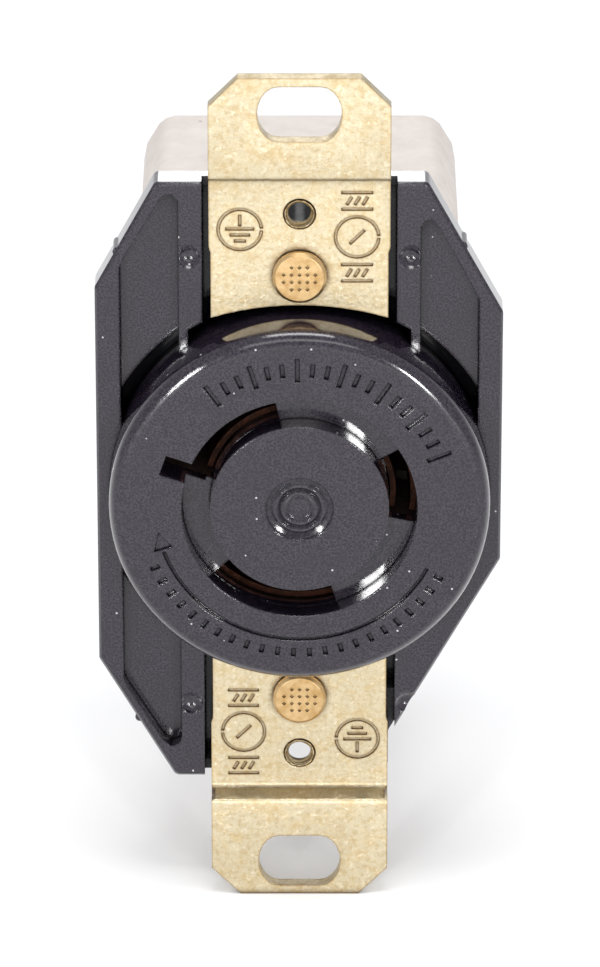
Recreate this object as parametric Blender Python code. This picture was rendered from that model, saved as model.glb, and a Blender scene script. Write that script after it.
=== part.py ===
"""Flush-mount locking receptacle: two poles and ground, on brass mounting straps.

Frame: X to the right, Z up along the straps, Y back into the wall box.
The plug axis is X = 0, Z = 0.  Y = 0 is the front of the straps beside the round face,
and the backs of the strap ears sit against the wall at Y = EAR_BACK.
All dimensions below are in millimetres.
"""

import math

import bmesh
import bpy
from mathutils import Matrix

MM = 0.001
GAP = 0.3  # clearance between neighbouring pieces
PAST = 1.0  # how far a cutting shape runs past the surface it opens

# Mounting straps
STRAP_THICKNESS = 1.5
STRAP_END = 45.5
EAR_BACK = -0.6
STRAP_HALF_WIDTH = 9.15
STRAP_NARROW_HALF_WIDTH = 8.97  # beside the round face
STRAP_NARROW_BELOW = 26.0
STRAP_CORNER = 3.0
STRAP_INNER_CORNER = 18.9  # height of the inner edge at its corners
STRAP_INNER_MIDDLE = 20.27  # and on the centre line
BEND_START = 33.9
BEND_FRONT_END = 34.7
BEND_BACK_START = 34.9
BEND_BACK_END = 35.7
BEND_RADIUS = 0.45
BEND_NOTCH = (0.35, 34.1, 34.6)  # how deep, and from where to where
MOUNTING_HOLE_HEIGHT = 41.67  # 3.281 in between the two ear slots
MOUNTING_SLOT_HALF = (4.25, 2.92)
MOUNTING_SLOT_FLAT = 2.1
PLATE_HOLE_HEIGHT = 30.163  # 2.375 in between the two wall plate holes
PLATE_HOLE_RADIUS = 1.35
PLATE_SCREW_CLEARANCE = 1.95
PLATE_SLEEVE = (2.5, 8.6)  # radius, depth where it ends
STAMP_DEPTH = 0.15
STAMP_LINE = 0.32
STAMP_RING = 2.35
EARTH_STAMP = (-6.0, 28.5)
FRAME_STAMP = (5.8, 27.7)

# Rivets
RIVET_HEIGHT = 23.57
RIVET_HEAD_RADIUS = 2.75
RIVET_HEAD_THICKNESS = 0.7
RIVET_RADIUS = 1.6
RIVET_HOLE_RADIUS = 1.9
RIVET_DOT_PITCH = 0.8
WASHER_RADIUS = 3.3

# Face cover
COVER_OUTLINE = [
    (12.9, 33.6),
    (-14.5, 33.6),
    (-20.7, 22.2),
    (-20.7, -19.3),
    (-12.9, -32.8),
    (9.2, -32.8),
    (9.2, -28.4),
    (20.6, -8.0),
    (20.6, 19.5),
]
COVER_CORNER_RADIUS = 0.7
COVER_EDGE_CHAMFER = 0.25
COVER_FLANGE = 3.2
COVER_BACK = 5.2
COVER_BACK_INSET = 1.0
CHANNEL_HALF_WIDTH = 9.85
CHANNEL_FLOOR = STRAP_THICKNESS + GAP
GUTTER_INNER = 8.6
GUTTER_FLOOR = 4.2
GUTTERS = [  # side, lower end, upper end
    (1, 17.0, 32.5),
    (-1, 17.0, 32.5),
    (-1, -31.7, -17.0),
    (1, -23.5, -17.0),
]
POCKET_FLOOR = 1.9
POCKET_INNER = 12.2
POCKET_OUTER = 18.2
UPPER_LEFT_POCKET = [(-17.7, 25.4), (-14.0, 31.8), (-13.5, 32.2), (-12.7, 32.2)]
UPPER_RIGHT_POCKET = [(17.7, 21.8), (14.2, 28.5), (13.3, 29.6), (12.6, 29.4)]
LOWER_LEFT_POCKET = [(-17.8, -22.6), (-14.2, -28.6), (-13.3, -29.4), (-12.5, -29.1)]
MOAT_RADIUS = 20.9
MOAT_FLOOR = 3.6
MOAT_MIDDLE_HALF = 11.3
DIMPLES = [(-11.2, 25.5), (11.2, 25.5), (-11.2, -24.4), (11.2, -24.3)]
DIMPLE_SPHERE = 1.5
DIMPLE_DEPTH = 0.7
EDGE_KNUCKLES = [(-18.35, 26.0), (16.45, 26.6), (-16.55, -26.1)]
KNUCKLE_RADIUS = 0.5

# Round face
FACE_RADIUS = 19.4
FACE_FRONT = -5.2
FACE_ROUND = (1.5, 1.3)
GROOVE_INNER = 9.1
GROOVE_OUTER = 12.0
GROOVE_FLOOR = -2.8
SLOT_MARGIN = 0.05
GROUND_SLOT = (102.8, 164.8)
GROUND_KEY_ANGLE = 160.7
GROUND_KEY_WIDTH = 2.25
GROUND_KEY_REACH = 14.7
LINE_1_SLOT = (-12.0, 29.0)
LINE_2_SLOT = (223.0, 288.4)
RECESS_RADIUS = 16.9
RECESS_FRONT = -1.4
BULLSEYE_RIM = [(3.5, 0.0), (3.38, 0.25)]  # radius, depth below the face
BULLSEYE_WAVE = [  # each ring's crest or trough: radius, depth below the face
    (2.88, 0.42), (2.46, 0.14), (2.08, 0.42), (1.7, 0.14), (1.22, 0.48), (0.85, 0.4),
]
MARK_DEPTH = 0.3
MARK_MIDDLE = 15.3

# Contact carrier and contacts
CARRIER_FRONT = RECESS_FRONT + GAP
CARRIER_RADIUS = RECESS_RADIUS - GAP
CARRIER_STEP = COVER_BACK
CARRIER_NECK_RADIUS = 13.9
CARRIER_BACK = 8.7
CHAMBER_RADII = (8.3, 13.1)
CHAMBER_MARGIN = 3.0  # degrees at each end
KEY_CHAMBER_REACH = 15.2
KEY_CHAMBER_BACK = 4.0
CONTACT_FRONT = -0.6
CONTACT_BASE = (9.0, 10.2)
LEAF_THICKNESS = 0.6
LEAF_RADII = (9.25, 11.95)
CONTACT_MARGIN = 1.5  # degrees at each end
CLIP_THICKNESS = 0.3
CLIP_FRONT = 2.5
SHEET = (11.2, 11.7)
SHEET_HALF_WIDTH = 11.9
GROUND_BAR = (12.0, 13.0)
GROUND_BAR_HALF_WIDTH = 4.0
GROUND_BAR_END = 2.9  # past each rivet
GROUND_FOOT_X = (-3.3, -1.2)
GROUND_FOOT_Z = (9.6, 11.4)

# Terminals
TERMINAL_DEPTH = 20.0  # Y of the screw axis
TERMINALS = {  # name: side, height of the screw axis, side of the screw the wire goes
    "ground": (-1, 9.0, 1),
    "line_1": (1, 8.0, 1),
    "line_2": (-1, -9.0, -1),
}
TAB = (12.3, 13.5)
TAB_BACK = 24.5
TAB_SHOULDER = 15.5
TERMINAL_SHORT_SIDE = 3.2
TERMINAL_WIRE_SIDE = 7.2
SCREW_HEAD = (13.8, 16.2)
SCREW_HEAD_RADIUS = 3.6
SCREW_RADIUS = 2.05  # 8-32 thread, 0.79375 mm pitch
SCREW_END = 5.6
SCREW_HOLE_RADIUS = 2.4
CLAMP = (7.1, 9.1)  # with the terminal open
CLAMP_HALF_DEPTH = 4.0
WIRE_HOLE_X = (8.4, 13.0)
WIRE_HOLE_OFFSET = (2.5, 7.1)

# Back body
BODY_HALF_WIDTH = 16.5
BODY_UPPER_CORNER = [  # a shoulder over a shallow waist
    (BODY_HALF_WIDTH, 17.2),
    (14.8, 20.2),
    (14.8, 22.3),
    (16.2, 24.2),
    (16.2, 25.2),
    (15.9, 26.9),
    (14.6, 29.1),
    (13.9, 29.7),
    (13.0, 30.0),
]
BODY_BOTTOM = -29.6
BODY_LOWER_CORNER = (3.2, 3.9)
BODY_CUT_CORNER = [(7.17, BODY_BOTTOM), (BODY_HALF_WIDTH, -12.8)]
BODY_FRONT = COVER_BACK + GAP
BODY_BACK = 29.0
BODY_EDGE = 1.0
CENTRE_CHAMBER_RADIUS = 14.4
CENTRE_CHAMBER_FLOOR = 13.3
TERMINAL_CHAMBER_X = (5.0, 14.5)
TERMINAL_CHAMBER_CLEARANCE = 0.75
TERMINAL_CHAMBER_FLOOR = 26.3
END_CHAMBER_FLOOR = 24.0
END_CHAMBER_Z = (18.4, 26.9)
END_CHAMBER_HALF_WIDTH = 12.8
RIVET_POST_RADIUS = 3.3
RIVET_WELL = (26.6, 4.0)  # depth where it starts, radius
SCREW_WELL_RADIUS = 4.0
REAR_CORE_HALF = (3.6, 14.5)
REAR_CORE_FLOOR = 16.0


# ---------------------------------------------------------------- outlines (x, z)


def polar(radius, degrees):
    angle = math.radians(degrees)
    return radius * math.cos(angle), radius * math.sin(angle)


def circle(radius, centre=(0.0, 0.0), count=32):
    turns = [polar(radius, 360.0 * i / count) for i in range(count)]
    return [(centre[0] + x, centre[1] + z) for x, z in turns]


def sector(inner, outer, start, end, step=4.0):
    """A piece of a ring between two angles in degrees."""
    count = max(2, math.ceil((end - start) / step))
    angles = [start + (end - start) * i / count for i in range(count + 1)]
    far = [polar(outer, a) for a in angles]
    near = [polar(inner, a) for a in reversed(angles)]
    return far + near


def rectangle(x0, x1, z0, z1):
    return [(x0, z0), (x1, z0), (x1, z1), (x0, z1)]


def bar(centre, length, width, degrees):
    """A rectangle of this length along the given direction."""
    ux, uz = polar(1.0, degrees)
    corners = []
    for along, across in ((-1, -1), (1, -1), (1, 1), (-1, 1)):
        a = along * length / 2
        b = across * width / 2
        corners.append((centre[0] + a * ux - b * uz, centre[1] + a * uz + b * ux))
    return corners


def quarter(centre, half_x, half_z, start, count=5):
    """A quarter of an ellipse, counter-clockwise from the start angle."""
    points = []
    for i in range(count + 1):
        angle = math.radians(start + 90.0 * i / count)
        x = centre[0] + half_x * math.cos(angle)
        z = centre[1] + half_z * math.sin(angle)
        points.append((x, z))
    return points


def turned(outline):
    """The outline turned half a turn about the plug axis."""
    return [(-x, -z) for x, z in outline]


def area(outline):
    pairs = zip(outline, outline[1:] + outline[:1])
    return sum(x0 * z1 - x1 * z0 for (x0, z0), (x1, z1) in pairs) / 2


def inset(outline, distance):
    """The outline with every side moved inwards."""
    turn = 1 if area(outline) > 0 else -1
    lines = []
    for (x0, z0), (x1, z1) in zip(outline, outline[1:] + outline[:1]):
        length = math.hypot(x1 - x0, z1 - z0)
        nx = -(z1 - z0) / length * turn
        nz = (x1 - x0) / length * turn
        lines.append((nx, nz, nx * x0 + nz * z0 + distance))
    points = []
    for (a0, b0, c0), (a1, b1, c1) in zip(lines[-1:] + lines[:-1], lines):
        det = a0 * b1 - a1 * b0
        points.append(((c0 * b1 - c1 * b0) / det, (a0 * c1 - a1 * c0) / det))
    return points


def rounded(outline, radius, count=3):
    """The outline with each corner turned into an arc."""
    points = []
    for before, corner, after in zip(outline[-1:] + outline, outline, outline[1:] + outline):
        arms = []
        for end in (before, after):
            length = math.dist(corner, end)
            arms.append(((end[0] - corner[0]) / length, (end[1] - corner[1]) / length))
        (ax, az), (bx, bz) = arms
        half = math.acos(max(-1.0, min(1.0, ax * bx + az * bz))) / 2
        mid = math.hypot(ax + bx, az + bz)
        reach = radius / math.sin(half)
        centre = (
            corner[0] + (ax + bx) / mid * reach,
            corner[1] + (az + bz) / mid * reach,
        )
        first = math.atan2(corner[1] + az * radius / math.tan(half) - centre[1],
                           corner[0] + ax * radius / math.tan(half) - centre[0])
        last = math.atan2(corner[1] + bz * radius / math.tan(half) - centre[1],
                          corner[0] + bx * radius / math.tan(half) - centre[0])
        sweep = math.remainder(last - first, math.tau)
        for i in range(count + 1):
            x, z = polar(radius, math.degrees(first + sweep * i / count))
            points.append((centre[0] + x, centre[1] + z))
    return points


# ---------------------------------------------------------------- solids


def to_object(name, mesh_data):
    bmesh.ops.recalc_face_normals(mesh_data, faces=mesh_data.faces)
    mesh = bpy.data.meshes.new(name)
    mesh_data.to_mesh(mesh)
    mesh_data.free()
    obj = bpy.data.objects.new(name, mesh)
    bpy.context.scene.collection.objects.link(obj)
    return obj


def loft(name, rings):
    """A solid through outlines of equal point counts, given as (outline, y)."""
    data = bmesh.new()
    layers = []
    for outline, y in rings:
        layers.append([data.verts.new((x * MM, y * MM, z * MM)) for x, z in outline])
    for lower, upper in zip(layers, layers[1:]):
        for i in range(len(lower)):
            j = (i + 1) % len(lower)
            data.faces.new((lower[i], lower[j], upper[j], upper[i]))
    data.faces.new(layers[0])
    data.faces.new(layers[-1][::-1])
    return to_object(name, data)


def prism(name, outline, front, back):
    return loft(name, [(outline, front), (outline, back)])


def prisms(name, outlines, front, back):
    """Several separate prisms in one object, for cutting."""
    data = bmesh.new()
    for outline in outlines:
        near = [data.verts.new((x * MM, front * MM, z * MM)) for x, z in outline]
        far = [data.verts.new((x * MM, back * MM, z * MM)) for x, z in outline]
        for i in range(len(near)):
            j = (i + 1) % len(near)
            data.faces.new((near[i], near[j], far[j], far[i]))
        data.faces.new(near)
        data.faces.new(far[::-1])
    return to_object(name, data)


def lathe(name, profile, centre=(0.0, 0.0), count=48):
    """A solid turned about a Y axis through centre, from (radius, y) points."""
    data = bmesh.new()
    rings = []
    for radius, y in profile:
        if radius == 0:
            points = [(0.0, 0.0)]
        else:
            points = circle(radius, count=count)
        ring = []
        for x, z in points:
            place = ((centre[0] + x) * MM, y * MM, (centre[1] + z) * MM)
            ring.append(data.verts.new(place))
        rings.append(ring)
    for first, second in zip(rings, rings[1:] + rings[:1]):
        if len(first) == 1 and len(second) == 1:
            continue
        for i in range(count):
            j = (i + 1) % count
            corners = [first[i % len(first)], first[j % len(first)]]
            corners += [second[j % len(second)], second[i % len(second)]]
            data.faces.new(list(dict.fromkeys(corners)))
    return to_object(name, data)


def tube(name, radius, front, back, centre=(0.0, 0.0), count=32):
    profile = [(0, front), (radius, front), (radius, back), (0, back)]
    return lathe(name, profile, centre, count)


def box(name, x, y, z):
    return prism(name, rectangle(min(x), max(x), min(z), max(z)), min(y), max(y))


def weld(obj):
    data = bmesh.new()
    data.from_mesh(obj.data)
    bmesh.ops.remove_doubles(data, verts=data.verts, dist=0.0005 * MM)
    bmesh.ops.dissolve_degenerate(data, edges=data.edges, dist=0.0005 * MM)
    data.to_mesh(obj.data)
    data.free()


def combine(base, tool, operation):
    step = base.modifiers.new(operation, "BOOLEAN")
    step.operation = operation
    step.solver = "EXACT"
    step.object = tool
    graph = bpy.context.evaluated_depsgraph_get()
    result = bpy.data.meshes.new_from_object(base.evaluated_get(graph))
    before = base.data
    base.modifiers.clear()
    base.data = result
    base.data.name = base.name
    bpy.data.meshes.remove(before)
    bpy.data.objects.remove(tool)
    weld(base)


def cut(base, *tools):
    for tool in tools:
        combine(base, tool, "DIFFERENCE")


def join(base, *tools):
    for tool in tools:
        combine(base, tool, "UNION")


def side_axis(obj, side, height):
    """Turns a piece built along Y so that its front faces the given side."""
    turn = Matrix.Rotation(math.radians(90 * side), 4, "Z")
    place = Matrix.Translation((0.0, TERMINAL_DEPTH * MM, height * MM))
    obj.data.transform(place @ turn)


def set_origin(obj, x, y, z):
    """Moves the origin to a point and keeps the piece where it is."""
    place = Matrix.Translation((x * MM, y * MM, z * MM))
    obj.data.transform(place.inverted())
    obj.matrix_world = place


# ---------------------------------------------------------------- materials


def material(name, colour, metallic, roughness):
    made = bpy.data.materials.new(name)
    made.use_nodes = True
    made.diffuse_color = (*colour, 1.0)
    shader = made.node_tree.nodes["Principled BSDF"]
    shader.inputs["Base Color"].default_value = (*colour, 1.0)
    shader.inputs["Metallic"].default_value = metallic
    shader.inputs["Roughness"].default_value = roughness
    return made


def finish(obj, made, smooth_angle=32.0):
    obj.data.materials.clear()
    obj.data.materials.append(made)
    obj.data.shade_smooth()
    obj.data.set_sharp_from_angle(angle=math.radians(smooth_angle))


# ---------------------------------------------------------------- face cover


def arc_window(x0, x1, radius, base, count=8):
    """The region under a circle between two x values, down to the base height."""
    across = [x0 + (x1 - x0) * i / count for i in range(count + 1)]
    arc = [(x, math.sqrt(radius**2 - x**2)) for x in reversed(across)]
    return [(x0, base), (x1, base)] + arc


def pocket(corner, base):
    """A corner pocket, from its end points and the height where it meets the moat."""
    sign = 1 if corner[0][0] > 0 else -1
    level = base if corner[0][1] > 0 else -base
    outer = (sign * POCKET_OUTER, corner[0][1] - math.copysign(1.0, level))
    inner = (sign * POCKET_INNER, corner[-1][1] - math.copysign(0.6, level))
    ends = [(sign * POCKET_INNER, level), (sign * POCKET_OUTER, level)]
    return ends + [outer] + corner + [inner]


def moat_windows():
    margin = SLOT_MARGIN
    middle = arc_window(-MOAT_MIDDLE_HALF, MOAT_MIDDLE_HALF, MOAT_RADIUS, 8.0, 14)
    x0 = POCKET_INNER + margin
    x1 = POCKET_OUTER - margin
    right = arc_window(x0, x1, MOAT_RADIUS, 5.0)
    left = [(-x, z) for x, z in right]
    return [middle, turned(middle), right, left, turned(right)]


def face_marks():
    """Plain ticks over the slots, and a turn arrow with a row of ticks under them."""
    outlines = []
    for i in range(19):
        length = 2.6 if i % 3 == 0 else 1.5
        angle = 125.0 - 5.7 * i
        outlines.append(bar(polar(MARK_MIDDLE, angle), length, 0.5, angle))
    for i in range(23):
        angle = 204.0 + 5.8 * i
        outlines.append(bar(polar(MARK_MIDDLE + 0.8, angle), 1.0, 0.5, angle))
    shaft = MARK_MIDDLE - 0.7
    outlines.append(sector(shaft - 0.2, shaft + 0.2, 199.0, 333.0, 6.0))
    head = [polar(shaft, 190.0), polar(shaft - 1.0, 198.0), polar(shaft + 1.0, 198.0)]
    outlines.append(head)
    return outlines


def slot_outlines():
    inner = GROOVE_INNER + SLOT_MARGIN
    outer = GROOVE_OUTER - SLOT_MARGIN
    slots = (GROUND_SLOT, LINE_1_SLOT, LINE_2_SLOT)
    return [sector(inner, outer, *angles) for angles in slots]


def key_outline():
    start = GROOVE_INNER + 0.7
    middle = polar((start + GROUND_KEY_REACH) / 2, GROUND_KEY_ANGLE)
    return bar(middle, GROUND_KEY_REACH - start, GROUND_KEY_WIDTH, GROUND_KEY_ANGLE)


def round_face():
    half_r, half_y = FACE_ROUND
    edge = []
    for i in range(6):
        angle = math.radians(18.0 * i)
        radius = FACE_RADIUS - half_r + half_r * math.sin(angle)
        edge.append((radius, FACE_FRONT + half_y - half_y * math.cos(angle)))
    back = COVER_BACK - GAP
    profile = [(0, FACE_FRONT), *edge, (FACE_RADIUS, back), (0, back)]
    return lathe("round_face", profile, count=96)


def wave(points, steps=4):
    """Half cosines that run level through each of these points."""
    made = [points[0]]
    for (x0, y0), (x1, y1) in zip(points, points[1:]):
        for i in range(1, steps + 1):
            share = i / steps
            rise = (1 - math.cos(math.pi * share)) / 2
            made.append((x0 + (x1 - x0) * share, y0 + (y1 - y0) * rise))
    return made


def bullseye():
    top = FACE_FRONT - PAST
    rings = BULLSEYE_RIM + wave(BULLSEYE_WAVE)
    steps = [(radius, FACE_FRONT + depth) for radius, depth in rings]
    profile = [(0, top), (rings[0][0], top), *steps, (0, steps[-1][1])]
    return lathe("bullseye", profile, count=40)


def dimple(x, z):
    centre = -(DIMPLE_SPHERE - DIMPLE_DEPTH)
    profile = []
    for i in range(7):
        angle = math.radians(90.0 * i / 6)
        radius = DIMPLE_SPHERE * math.cos(angle)
        profile.append((radius, centre + DIMPLE_SPHERE * math.sin(angle)))
    profile[-1] = (0, profile[-1][1])
    top = centre - PAST
    return lathe("dimple", [(0, top), (DIMPLE_SPHERE, top), *profile], (x, z), 16)


def face_cover(made):
    outline = rounded(COVER_OUTLINE, COVER_CORNER_RADIUS)
    inner = rounded(inset(COVER_OUTLINE, COVER_EDGE_CHAMFER), COVER_CORNER_RADIUS)
    front = [(inner, 0.0), (outline, COVER_EDGE_CHAMFER)]
    cover = loft("face_cover", front + [(outline, COVER_FLANGE)])
    for x, z in EDGE_KNUCKLES:
        join(cover, tube("knuckle", KNUCKLE_RADIUS, 0.25, COVER_FLANGE - 0.2, (x, z), 12))
    seat = inset(COVER_OUTLINE, COVER_BACK_INSET)
    join(cover, prism("seat", seat, COVER_FLANGE - 0.5, COVER_BACK))
    sleeve_radius, sleeve_back = PLATE_SLEEVE
    for sign in (1, -1):
        spot = (0.0, sign * PLATE_HOLE_HEIGHT)
        front = COVER_BACK - 0.5
        join(cover, tube("sleeve", sleeve_radius, front, sleeve_back, spot, 24))
    wall = CHANNEL_HALF_WIDTH
    channel = rectangle(-wall, wall, 17.0, STRAP_END)
    cut(cover, prisms("channels", [channel, turned(channel)], -PAST, CHANNEL_FLOOR))
    gutters = []
    for side, low, high in GUTTERS:
        edges = sorted((side * GUTTER_INNER, side * wall))
        gutters.append(rectangle(*edges, low, high))
    cut(cover, prisms("gutters", gutters, -PAST, GUTTER_FLOOR))
    corners = (UPPER_LEFT_POCKET, UPPER_RIGHT_POCKET, LOWER_LEFT_POCKET)
    pockets = [pocket(corner, 9.0) for corner in corners]
    cut(cover, prisms("pockets", pockets, -PAST, POCKET_FLOOR))
    cut(cover, prisms("moat", moat_windows(), -PAST, MOAT_FLOOR))
    join(cover, round_face())
    for x, z in DIMPLES:
        cut(cover, dimple(x, z))
    groove = [(GROOVE_INNER, FACE_FRONT - PAST), (GROOVE_OUTER, FACE_FRONT - PAST)]
    groove += [(GROOVE_OUTER, GROOVE_FLOOR), (GROOVE_INNER, GROOVE_FLOOR)]
    cut(cover, lathe("groove", groove, count=96), bullseye())
    cut(cover, tube("recess", RECESS_RADIUS, RECESS_FRONT, COVER_BACK + PAST, count=64))
    through = RECESS_FRONT + 0.5
    cut(cover, prisms("slots", slot_outlines(), GROOVE_FLOOR - 0.5, through))
    cut(cover, prism("key", key_outline(), FACE_FRONT - PAST, through))
    cut(cover, prisms("marks", face_marks(), FACE_FRONT - PAST, FACE_FRONT + MARK_DEPTH))
    for sign in (1, -1):
        for height, radius in (
            (RIVET_HEIGHT, RIVET_HOLE_RADIUS),
            (PLATE_HOLE_HEIGHT, PLATE_SCREW_CLEARANCE),
        ):
            spot = (0.0, sign * height)
            cut(cover, tube("hole", radius, 0.0, sleeve_back + PAST, spot, 24))
    width = PLATE_SCREW_CLEARANCE - SLOT_MARGIN
    way_out = (-PLATE_HOLE_HEIGHT, -PLATE_HOLE_HEIGHT - 2 * sleeve_radius)
    depths = (0.0, sleeve_back + PAST)
    cut(cover, box("open_side", (-width, width), depths, way_out))
    finish(cover, made)


# ---------------------------------------------------------------- straps and rivets


def strap_outline():
    half = STRAP_HALF_WIDTH
    narrow = STRAP_NARROW_HALF_WIDTH
    right = [(narrow, STRAP_INNER_CORNER), (narrow, STRAP_NARROW_BELOW)]
    notch, low, high = BEND_NOTCH
    right += [(half, STRAP_NARROW_BELOW + 0.6), (half, low - 0.1)]
    right += [(half - notch, low), (half - notch, high), (half, high + 0.1)]
    right += [(half, STRAP_END - STRAP_CORNER), (half - STRAP_CORNER, STRAP_END)]
    left = [(-x, z) for x, z in reversed(right)]
    rise = STRAP_INNER_MIDDLE - STRAP_INNER_CORNER
    radius = (narrow**2 + rise**2) / (2 * rise)
    inner = []
    for i in range(1, 12):
        x = -narrow + 2 * narrow * i / 12
        inner.append((x, STRAP_INNER_MIDDLE - radius + math.sqrt(radius**2 - x**2)))
    return right + left + inner


def mounting_slot():
    half_x, half_z = MOUNTING_SLOT_HALF
    flat = MOUNTING_SLOT_FLAT
    points = []
    for i, sign in enumerate((1, -1, -1, 1)):
        points += quarter((sign * flat, 0.0), half_x - flat, half_z, 90.0 * i)
    return [(x, MOUNTING_HOLE_HEIGHT + z) for x, z in points[:-1]]


def strap_stamps():
    """Generic stamped marks: an earth sign in a ring, and a ring between frames."""
    line = STAMP_LINE
    ring = sector(STAMP_RING - line, STAMP_RING, 3.0, 357.0, 15.0)
    x0, z0 = EARTH_STAMP
    stamps = [[(x0 + x, z0 + z) for x, z in ring]]
    stamps.append(rectangle(x0 - line / 2, x0 + line / 2, z0 + 0.35, z0 + 1.6))
    for i in range(3):
        half = 1.45 - 0.42 * i
        level = z0 - 0.1 - 0.65 * i
        stamps.append(rectangle(x0 - half, x0 + half, level, level + line))
    x0, z0 = FRAME_STAMP
    stamps.append([(x0 + x, z0 + z) for x, z in ring])
    stamps.append(bar((x0, z0), 2.1, line, 45.0))
    for level in (z0 - 3.9, z0 + 3.9):
        for edge in (level - 1.05, level + 1.05 - line):
            stamps.append(rectangle(x0 - 1.6, x0 + 1.6, edge, edge + line))
        for x in (x0 - 0.8, x0, x0 + 0.8):
            stamps.append(bar((x, level), 1.0, line, 60.0))
    return stamps


def strap(name, made, turn):
    ear_front = EAR_BACK - STRAP_THICKNESS
    side = [(0.0, 15.0), (STRAP_THICKNESS, 15.0)]
    side += [(STRAP_THICKNESS, BEND_BACK_START), (EAR_BACK, BEND_BACK_END)]
    side += [(EAR_BACK, STRAP_END + PAST), (ear_front, STRAP_END + PAST)]
    side += [(ear_front, BEND_FRONT_END), (0.0, BEND_START)]
    side = rounded(side, BEND_RADIUS)
    sheet = loft(name, [(side, -15.0), (side, 15.0)])
    # The side profile was drawn along Y, so its x and y trade places.
    swap = Matrix(((0, 1, 0, 0), (1, 0, 0, 0), (0, 0, 1, 0), (0, 0, 0, 1)))
    sheet.data.transform(swap)
    sheet.data.flip_normals()
    combine(sheet, prism("outline", strap_outline(), -5.0, 5.0), "INTERSECT")
    cut(sheet, prism("slot", mounting_slot(), -5.0, 5.0))
    spot = (0.0, PLATE_HOLE_HEIGHT)
    lead = 0.35
    tapped = [(0, -PAST), (PLATE_HOLE_RADIUS + lead + PAST, -PAST)]
    tapped += [(PLATE_HOLE_RADIUS, lead)]
    tapped += [(PLATE_HOLE_RADIUS, STRAP_THICKNESS + PAST), (0, STRAP_THICKNESS + PAST)]
    cut(sheet, lathe("tapped", tapped, spot, 24))
    rivet_spot = (0.0, RIVET_HEIGHT)
    cut(sheet, tube("hole", RIVET_HOLE_RADIUS, -PAST, 3.0, rivet_spot, 24))
    cut(sheet, prisms("stamps", strap_stamps(), -PAST, STAMP_DEPTH))
    if turn:
        sheet.data.transform(Matrix.Rotation(math.pi, 4, "Y"))
    finish(sheet, made)


def rivet_dots():
    pitch = RIVET_DOT_PITCH
    spots = []
    for row, count in ((-1.5, 3), (-0.5, 5), (0.5, 5), (1.5, 3)):
        for i in range(count):
            spots.append(((i - (count - 1) / 2) * pitch, row * pitch))
    return spots


def rivet(name, made, height):
    head_back = -GAP
    head_front = head_back - RIVET_HEAD_THICKNESS
    tail = RIVET_WELL[0] + 1.4
    edge = RIVET_HEAD_RADIUS
    profile = [(0, head_front), (edge - 0.3, head_front), (edge, head_front + 0.25)]
    profile += [(edge, head_back), (RIVET_RADIUS, head_back), (RIVET_RADIUS, tail)]
    profile += [(2.6, tail), (2.6, tail + 0.5), (2.1, tail + 0.9), (0, tail + 0.9)]
    made_rivet = lathe(name, profile, (0.0, height), 28)
    dots = []
    for x, z in rivet_dots():
        dots.append(circle(0.22, (x, height + z), 4))
    cut(made_rivet, prisms("dots", dots, head_front - PAST, head_front + 0.15))
    finish(made_rivet, made)


def rear_washer(name, made, height):
    front = RIVET_WELL[0] + GAP
    profile = [(RIVET_HOLE_RADIUS, front), (WASHER_RADIUS, front)]
    profile += [(WASHER_RADIUS, front + 0.8), (RIVET_HOLE_RADIUS, front + 0.8)]
    finish(lathe(name, profile, (0.0, height), 24), made)


# ---------------------------------------------------------------- inner pieces


def contact_carrier(made):
    profile = [(0, CARRIER_FRONT), (CARRIER_RADIUS, CARRIER_FRONT)]
    profile += [(CARRIER_RADIUS, CARRIER_STEP), (CARRIER_NECK_RADIUS, CARRIER_STEP)]
    profile += [(CARRIER_NECK_RADIUS, CARRIER_BACK), (0, CARRIER_BACK)]
    carrier = lathe("contact_carrier", profile, count=64)
    chambers = []
    for start, end in (GROUND_SLOT, LINE_1_SLOT, LINE_2_SLOT):
        ends = (start - CHAMBER_MARGIN, end + CHAMBER_MARGIN)
        chambers.append(sector(*CHAMBER_RADII, *ends))
    cut(carrier, prisms("chambers", chambers, CARRIER_FRONT - PAST, CARRIER_BACK + PAST))
    key = sector(CHAMBER_RADII[0] + 1, KEY_CHAMBER_REACH, 154.0, 167.0)
    cut(carrier, prism("key", key, CARRIER_FRONT - PAST, KEY_CHAMBER_BACK))
    finish(carrier, made)


def terminal_span(height, wire_side):
    """Bottom and top of a terminal along Z."""
    ends = (-TERMINAL_SHORT_SIDE * wire_side, TERMINAL_WIRE_SIDE * wire_side)
    return height + min(ends), height + max(ends)


def contact(name, made, slot, arm_start):
    side, height, wire_side = TERMINALS[name.replace("_contact", "")]
    start = slot[0] + CONTACT_MARGIN
    end = slot[1] - CONTACT_MARGIN
    inner, outer = LEAF_RADII
    front, back = CONTACT_BASE
    piece = prism(name, sector(inner, outer, start, end), *CONTACT_BASE)
    jaws = [sector(inner, inner + LEAF_THICKNESS, start, end)]
    jaws.append(sector(outer - LEAF_THICKNESS, outer, start, end))
    for jaw in jaws:
        join(piece, prism("jaw", jaw, CONTACT_FRONT, back - 0.2))
    short = (height - TERMINAL_SHORT_SIDE, height + TERMINAL_SHORT_SIDE)
    reach = (side * arm_start, side * TAB[1])
    join(piece, box("arm", reach, CONTACT_BASE, short))
    tab = (side * TAB[0], side * TAB[1])
    join(piece, box("neck", tab, (front, TAB_SHOULDER + 1), short))
    span = terminal_span(height, wire_side)
    join(piece, box("tab", tab, (TAB_SHOULDER, TAB_BACK), span))
    hole = tube("hole", SCREW_HOLE_RADIUS, -TAB[1] - PAST, -TAB[0] + PAST, count=24)
    side_axis(hole, side, height)
    cut(piece, hole)
    if name.startswith("ground"):
        join(piece, box("foot", GROUND_FOOT_X, (back - 0.5, SHEET[1]), GROUND_FOOT_Z))
    finish(piece, made)


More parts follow.
